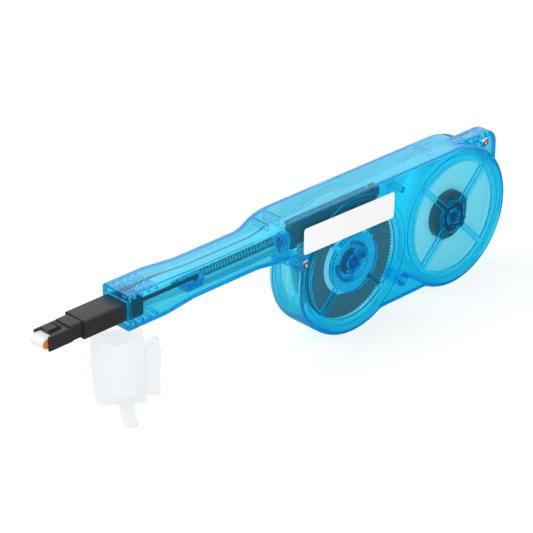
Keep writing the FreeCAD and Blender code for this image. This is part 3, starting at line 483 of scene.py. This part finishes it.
def dressNode(node, body, slotName, material=None, bevel=0.0):
    work = bmesh.new()
    work.from_mesh(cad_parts[node].data)
    bmesh.ops.remove_doubles(work, verts=work.verts, dist=meshSettings["mergeWithin"])
    bmesh.ops.dissolve_degenerate(work, edges=work.edges, dist=meshSettings["dropBelow"])
    work.verts.index_update()
    corners = [tuple(v.co) for v in work.verts]
    faces = [[v.index for v in f.verts] for f in work.faces]
    work.free()
    mesh = bpy.data.meshes.new(node + "Look")
    mesh.from_pydata(corners, [], faces)
    mesh.materials.append(material or finishes[slotName])
    mesh.shade_smooth()
    mesh.set_sharp_from_angle(angle=math.radians(meshSettings["smoothAngle"]))
    piece = bpy.data.objects.new(node + "Look", mesh)
    bpy.context.scene.collection.objects.link(piece)
    if bevel:
        soften = piece.modifiers.new("edge", "BEVEL")
        soften.width = mm(bevel)
        soften.segments = meshSettings["bevelSegments"]
        soften.limit_method = "ANGLE"
        soften.angle_limit = math.radians(meshSettings["bevelAngle"])
        soften.harden_normals = True
    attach(piece, body)
    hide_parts(node)


plainPieces = [    # node, body, slot and the width of its rounded edges in millimetres
    ("front_shell", "housing", "housing_plastic", 0.0),
    ("rear_shell", "housing", "housing_plastic", 0.0),
    ("label", "housing", "label_film", 0.0),
    ("friction_washer", "housing", "spring_steel", 0.0),
    ("guide_cap", "housing", "cap_plastic", 0.18),
    ("nozzle", "slider", "nozzle_plastic", 0.18),
    ("tip_pad", "slider", "pad_rubber", 0.0),
    ("tip_tape", "slider", "tape", 0.0),
    ("carrier", "slider", "carrier_plastic", 0.0),
    ("rack_bar", "slider", "rack_plastic", 0.1),
    ("drive_gear", "gear", "gear_plastic", 0.0),
    ("take_up_reel", "take_up", "light_plastic", 0.0),
    ("pawl_ring", "take_up", "gear_plastic", 0.0),
    ("supply_reel", "supply", "reel_plastic", 0.0),
]
for node, body, slotName, bevel in plainPieces:
    dressNode(node, body, slotName, bevel=bevel)
dressNode("take_up_tape", "take_up", "tape", woundTakeUpBlueLit)
dressNode("supply_tape", "supply", "tape", woundSupplyBlueLit)
dressNode("spring_guide_rod", "slider", "screw_steel", rodPlastic)
print("solids dressed:", len(plainPieces) + 3)


# pieces made with Geometry Nodes
def startTree(name, inputs):
    tree = bpy.data.node_groups.new(name, "GeometryNodeTree")
    tree.interface.new_socket(name="Geometry", in_out="INPUT", socket_type="NodeSocketGeometry")
    for label, kind, value in inputs:
        socket = tree.interface.new_socket(name=label, in_out="INPUT", socket_type=kind)
        if value is not None:
            socket.default_value = value
    tree.interface.new_socket(name="Geometry", in_out="OUTPUT", socket_type="NodeSocketGeometry")
    return tree, tree.nodes.new("NodeGroupInput"), tree.nodes.new("NodeGroupOutput")


def endTree(tree, leave, geometry, enter):
    realize = tree.nodes.new("GeometryNodeRealizeInstances")
    paint = tree.nodes.new("GeometryNodeSetMaterial")
    tree.links.new(geometry, realize.inputs["Geometry"])
    tree.links.new(realize.outputs["Geometry"], paint.inputs["Geometry"])
    tree.links.new(enter.outputs["Material"], paint.inputs["Material"])
    tree.links.new(paint.outputs["Geometry"], leave.inputs["Geometry"])


def growPiece(name, tree, values, startMesh):
    piece = bpy.data.objects.new(name, startMesh)
    bpy.context.scene.collection.objects.link(piece)
    modifier = piece.modifiers.new("grow", "NODES")
    modifier.node_group = tree
    for item in tree.interface.items_tree:
        if item.in_out == "INPUT" and item.name in values:
            modifier[item.identifier] = values[item.name]
    bpy.context.view_layer.update()
    grown = piece.evaluated_get(bpy.context.evaluated_depsgraph_get())
    made = bpy.data.meshes.new_from_object(grown)
    made.name = name
    piece.modifiers.remove(modifier)
    piece.data = made
    for polygon in made.polygons:
        polygon.use_smooth = True
    made.set_sharp_from_angle(angle=math.radians(meshSettings["grownSmoothAngle"]))
    return piece


springSettings = {
    "turns": 26.0,
    "coilRadius": 1.38,
    "wireRadius": 0.27,
    "startX": -72.8,
    "endX": -35.2,
    "height": 47.6,
    "pushedShare": 0.735,    # of its length, when the nozzle is pushed in
    "stepsPerTurn": 22,
    "wireSides": 10,
}


def buildSpringTree():
    tree, enter, leave = startTree("coilSpring", [
        ("Turns", "NodeSocketFloat", 26.0), ("Coil Radius", "NodeSocketFloat", 0.001),
        ("Wire Radius", "NodeSocketFloat", 0.0002), ("Length", "NodeSocketFloat", 0.03),
        ("Place", "NodeSocketVector", None), ("Material", "NodeSocketMaterial", None)])
    nodes, links = tree.nodes, tree.links
    coil = nodes.new("GeometryNodeCurveSpiral")
    coil.inputs["Resolution"].default_value = springSettings["stepsPerTurn"]
    links.new(enter.outputs["Turns"], coil.inputs["Rotations"])
    for label in ("Start Radius", "End Radius"):
        links.new(enter.outputs["Coil Radius"], coil.inputs[label])
    links.new(enter.outputs["Length"], coil.inputs["Height"])
    wire = nodes.new("GeometryNodeCurvePrimitiveCircle")
    wire.inputs["Resolution"].default_value = springSettings["wireSides"]
    links.new(enter.outputs["Wire Radius"], wire.inputs["Radius"])
    sweep = nodes.new("GeometryNodeCurveToMesh")
    sweep.inputs["Fill Caps"].default_value = True
    links.new(coil.outputs["Curve"], sweep.inputs["Curve"])
    links.new(wire.outputs["Curve"], sweep.inputs["Profile Curve"])
    lay = nodes.new("GeometryNodeTransform")
    lay.inputs["Rotation"].default_value = (0.0, math.radians(90), 0.0)
    links.new(sweep.outputs["Mesh"], lay.inputs["Geometry"])
    links.new(enter.outputs["Place"], lay.inputs["Translation"])
    endTree(tree, leave, lay.outputs["Geometry"], enter)
    return tree


s = springSettings
spring = growPiece("returnSpring", buildSpringTree(), {
    "Turns": s["turns"], "Coil Radius": mm(s["coilRadius"]), "Wire Radius": mm(s["wireRadius"]),
    "Length": mm(s["endX"] - s["startX"]), "Place": spot(s["startX"], 0, s["height"]),
    "Material": finishes["spring_steel"]}, bpy.data.meshes.new("springStart"))
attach(spring, "housing")
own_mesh(spring)
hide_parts("return_spring")
print("spring made:", len(spring.data.polygons), "faces")


screwSettings = {
    "headRadius": 1.85,
    "headRise": 0.55,
    "rimHeight": 0.45,
    "shankRadius": 1.0,
    "shankLength": 4.2,
    "slotWidth": 0.55,
    "slotLength": 2.3,
    "slotDepth": 0.8,
    "turn": 20.0,
    "headSides": 40,
    "domeRings": 16,
    "shankSides": 20,
    "places": [(-25.6, -7.75, 37.4), (74.5, -5.15, 53.3)],    # where the top of each head's rim is
}


def buildScrewTree():
    tree, enter, leave = startTree("crossHeadScrews", [
        ("Head Radius", "NodeSocketFloat", 0.002), ("Head Rise", "NodeSocketFloat", 0.0005),
        ("Rim Height", "NodeSocketFloat", 0.0005), ("Shank Radius", "NodeSocketFloat", 0.001),
        ("Shank Length", "NodeSocketFloat", 0.004), ("Slot Size", "NodeSocketVector", None),
        ("Turn", "NodeSocketFloat", 0.0), ("Material", "NodeSocketMaterial", None)])
    nodes, links = tree.nodes, tree.links

    def combine(**values):
        node = nodes.new("ShaderNodeCombineXYZ")
        for label, value in values.items():
            if isinstance(value, (int, float)):
                node.inputs[label].default_value = value
            else:
                links.new(value, node.inputs[label])
        return node.outputs["Vector"]

    def moved(geometry, **where):
        node = nodes.new("GeometryNodeTransform")
        links.new(geometry, node.inputs["Geometry"])
        for label, value in where.items():
            links.new(value, node.inputs[label])
        return node.outputs["Geometry"]

    # the dome is the part of a flattened ball above the rim
    ball = nodes.new("GeometryNodeMeshUVSphere")
    ball.inputs["Segments"].default_value = screwSettings["headSides"]
    ball.inputs["Rings"].default_value = screwSettings["domeRings"]
    ball.inputs["Radius"].default_value = 1.0
    dome = moved(ball.outputs["Mesh"], Scale=combine(
        X=enter.outputs["Head Radius"], Y=enter.outputs["Head Radius"], Z=enter.outputs["Head Rise"]))
    rim = nodes.new("GeometryNodeMeshCylinder")
    rim.inputs["Vertices"].default_value = screwSettings["headSides"]
    links.new(enter.outputs["Head Radius"], rim.inputs["Radius"])
    links.new(enter.outputs["Rim Height"], rim.inputs["Depth"])
    rimDown = mathNode(nodes, "MULTIPLY", enter.outputs["Rim Height"], -0.5)
    shank = nodes.new("GeometryNodeMeshCylinder")
    shank.inputs["Vertices"].default_value = screwSettings["shankSides"]
    links.new(enter.outputs["Shank Radius"], shank.inputs["Radius"])
    links.new(enter.outputs["Shank Length"], shank.inputs["Depth"])
    shankDown = mathNode(nodes, "MULTIPLY", enter.outputs["Shank Length"], -0.5)
    whole = nodes.new("GeometryNodeMeshBoolean")
    whole.operation = "UNION"
    for part in (dome, moved(rim.outputs["Mesh"], Translation=combine(Z=rimDown)),
                 moved(shank.outputs["Mesh"], Translation=combine(Z=shankDown))):
        links.new(part, whole.inputs["Mesh 2"])
    cut = nodes.new("GeometryNodeMeshBoolean")
    cut.operation = "DIFFERENCE"
    links.new(whole.outputs["Mesh"], cut.inputs["Mesh 1"])
    for quarter in (0.0, 90.0):
        slot = nodes.new("GeometryNodeMeshCube")
        links.new(enter.outputs["Slot Size"], slot.inputs["Size"])
        turned = nodes.new("GeometryNodeTransform")
        links.new(slot.outputs["Mesh"], turned.inputs["Geometry"])
        angle = mathNode(nodes, "ADD", enter.outputs["Turn"], math.radians(quarter))
        links.new(combine(Z=angle), turned.inputs["Rotation"])
        links.new(combine(Z=enter.outputs["Head Rise"]), turned.inputs["Translation"])
        links.new(turned.outputs["Geometry"], cut.inputs["Mesh 2"])
    place = nodes.new("GeometryNodeInstanceOnPoints")
    place.inputs["Rotation"].default_value = (math.radians(90), 0.0, 0.0)    # heads look to -Y
    links.new(enter.outputs["Geometry"], place.inputs["Points"])
    links.new(cut.outputs["Mesh"], place.inputs["Instance"])
    endTree(tree, leave, place.outputs["Instances"], enter)
    return tree


s = screwSettings
screwPoints = bpy.data.meshes.new("screwPoints")
screwPoints.from_pydata([spot(*p) for p in s["places"]], [], [])
screws = growPiece("crossHeadScrews", buildScrewTree(), {
    "Head Radius": mm(s["headRadius"]), "Head Rise": mm(s["headRise"]),
    "Rim Height": mm(s["rimHeight"]),
    "Shank Radius": mm(s["shankRadius"]), "Shank Length": mm(s["shankLength"]),
    "Slot Size": (mm(s["slotLength"]), mm(s["slotWidth"]), mm(s["slotDepth"] * 2)),
    "Turn": math.radians(s["turn"]), "Material": finishes["screw_steel"]}, screwPoints)
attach(screws, "housing")
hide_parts("housing_screws")
print("screws made:", len(screws.data.polygons), "faces")


tapeSettings = {
    "width": 6.3,
    "thick": 0.16,
    "step": 2.0,
    "runs": [    # name, node, way in X and Z, and where its hold passes from slide to housing
        ("feedTape", "feed_tape_run",
         [(55.0, 53.6), (-31.0, 51.9), (-81.0, 51.9), (-101.5, 50.2)], -78.0, -34.0),
        ("returnTape", "return_tape_run",
         [(-101.5, 46.4), (-81.0, 44.9), (-35.0, 44.9), (-1.35, 41.5)], -78.0, -38.0),
    ],
}


def buildTapeTree():
    tree, enter, leave = startTree("tapeRun", [
        ("Width", "NodeSocketFloat", 0.006), ("Thickness", "NodeSocketFloat", 0.0002),
        ("Step", "NodeSocketFloat", 0.002), ("Material", "NodeSocketMaterial", None)])
    nodes, links = tree.nodes, tree.links
    path = nodes.new("GeometryNodeMeshToCurve")
    even = nodes.new("GeometryNodeResampleCurve")
    even.mode = "LENGTH"
    upright = nodes.new("GeometryNodeSetCurveNormal")
    upright.mode = "Z_UP"
    section = nodes.new("GeometryNodeCurvePrimitiveQuadrilateral")
    sweep = nodes.new("GeometryNodeCurveToMesh")
    sweep.inputs["Fill Caps"].default_value = True
    links.new(enter.outputs["Geometry"], path.inputs["Mesh"])
    links.new(path.outputs["Curve"], even.inputs["Curve"])
    links.new(enter.outputs["Step"], even.inputs["Length"])
    links.new(even.outputs["Curve"], upright.inputs["Curve"])
    links.new(enter.outputs["Width"], section.inputs["Width"])
    links.new(enter.outputs["Thickness"], section.inputs["Height"])
    links.new(upright.outputs["Curve"], sweep.inputs["Curve"])
    links.new(section.outputs["Curve"], sweep.inputs["Profile Curve"])
    endTree(tree, leave, sweep.outputs["Mesh"], enter)
    return tree


s = tapeSettings
tapeTree = buildTapeTree()
for name, node, way, bendFrom, bendTo in s["runs"]:
    points = [spot(x, 0, z) for x, z in way]
    line = bpy.data.meshes.new(name + "Line")
    line.from_pydata(points, [(i, i + 1) for i in range(len(points) - 1)], [])
    strip = growPiece(name, tapeTree, {"Width": mm(s["width"]), "Thickness": mm(s["thick"]),
                                       "Step": mm(s["step"]), "Material": blueLitTape}, line)
    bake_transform(strip)
    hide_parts(node)
print("tape runs made")


stageSettings = {
    "floorSize": 6.0,
    "floorDrop": 0.0001,
    "floorRoughness": 0.9,
    "floorColour": (0.93, 0.93, 0.93),
    "seenColour": (0.34, 0.34, 0.34),    # for rays that see the floor: a part of its white is given
    "whiteLift": 0.72,                   # by this strength, so that its shadows stay faint
    "mirrorColour": (0.14, 0.14, 0.14),  # for reflections, so that side faces keep their colour
    "ambient": 0.55,
    "keyPower": 7.0,
    "keyPlace": (-0.45, 0.55, 0.95),
    "keySize": 0.9,
    "fillPower": 5.0,
    "fillPlace": (-0.6, -0.8, 0.5),
    "fillSize": 0.7,
    "lampAim": (0.0, 0.0, 0.03),
}


def seenRays(nodes):
    path = nodes.new("ShaderNodeLightPath")
    through = path.outputs["Is Transmission Ray"]
    return mathNode(nodes, "MAXIMUM", path.outputs["Is Camera Ray"], through)


def buildFloor(settings):
    half = settings["floorSize"] / 2
    low = -settings["floorDrop"]
    corners = [(-half, -half, low), (half, -half, low), (half, half, low), (-half, half, low)]
    mesh = bpy.data.meshes.new("floor")
    mesh.from_pydata(corners, [], [(0, 1, 2, 3)])
    material, body = startMaterial("paleFloor", settings["floorColour"], settings["floorRoughness"])
    body.inputs["Specular IOR Level"].default_value = 0.0
    body.inputs["Emission Color"].default_value = (1.0, 1.0, 1.0, 1.0)
    nodes, links = material.node_tree.nodes, material.node_tree.links
    seen = seenRays(nodes)
    lift = mathNode(nodes, "MULTIPLY", seen, settings["whiteLift"])
    links.new(lift, body.inputs["Emission Strength"])
    path = nodes.new("ShaderNodeLightPath")
    colour = mixColour(nodes, seen, settings["floorColour"], settings["seenColour"])
    colour = mixColour(nodes, path.outputs["Is Glossy Ray"], colour, settings["mirrorColour"])
    links.new(colour, body.inputs["Base Color"])
    mesh.materials.append(material)
    floor = bpy.data.objects.new("floor", mesh)
    bpy.context.scene.collection.objects.link(floor)


def buildWorld(settings):
    world = bpy.data.worlds.new("studio")
    world.use_nodes = True
    bpy.context.scene.world = world
    nodes, links = world.node_tree.nodes, world.node_tree.links
    back = nodes["Background"]
    back.inputs["Color"].default_value = (1.0, 1.0, 1.0, 1.0)
    path = nodes.new("ShaderNodeLightPath")
    seen = mathNode(nodes, "MAXIMUM", seenRays(nodes), path.outputs["Is Glossy Ray"])
    extra = mathNode(nodes, "MULTIPLY", seen, 1.0 - settings["ambient"])
    links.new(mathNode(nodes, "ADD", extra, settings["ambient"]), back.inputs["Strength"])


def addSoftbox(name, place, size, power, aim):
    data = bpy.data.lights.new(name, "AREA")
    data.shape = "DISK"
    data.size = size
    data.energy = power
    lamp = bpy.data.objects.new(name, data)
    lamp.location = place
    lamp.rotation_mode = "QUATERNION"
    lamp.rotation_quaternion = (Vector(aim) - Vector(place)).to_track_quat("-Z", "Y")
    bpy.context.scene.collection.objects.link(lamp)


cameraSettings = {
    "heading": 43.99,                # degrees from +Y towards +X
    "downTilt": 27.67,
    "distance": 0.9435,
    "aim": (0.016244, 0.014651, 0.020263),
    "lens": 168.86,
    "sensor": 36.0,
    "clip": (0.05, 20.0),
}


def addCamera(settings):
    heading, tilt = math.radians(settings["heading"]), math.radians(settings["downTilt"])
    level = math.cos(tilt)
    look = Vector((math.sin(heading) * level, math.cos(heading) * level, -math.sin(tilt)))
    data = bpy.data.cameras.new("camera")
    data.lens = settings["lens"]
    data.sensor_width = settings["sensor"]
    data.clip_start, data.clip_end = settings["clip"]
    camera = bpy.data.objects.new("camera", data)
    camera.location = Vector(settings["aim"]) - look * settings["distance"]
    camera.rotation_mode = "QUATERNION"
    camera.rotation_quaternion = look.to_track_quat("-Z", "Y")
    bpy.context.scene.collection.objects.link(camera)
    bpy.context.scene.camera = camera


buildFloor(stageSettings)
buildWorld(stageSettings)
s = stageSettings
addSoftbox("keyLamp", s["keyPlace"], s["keySize"], s["keyPower"], s["lampAim"])
addSoftbox("fillLamp", s["fillPlace"], s["fillSize"], s["fillPower"], s["lampAim"])
addCamera(cameraSettings)
bpy.context.scene.view_settings.view_transform = "Standard"
print("stage set")
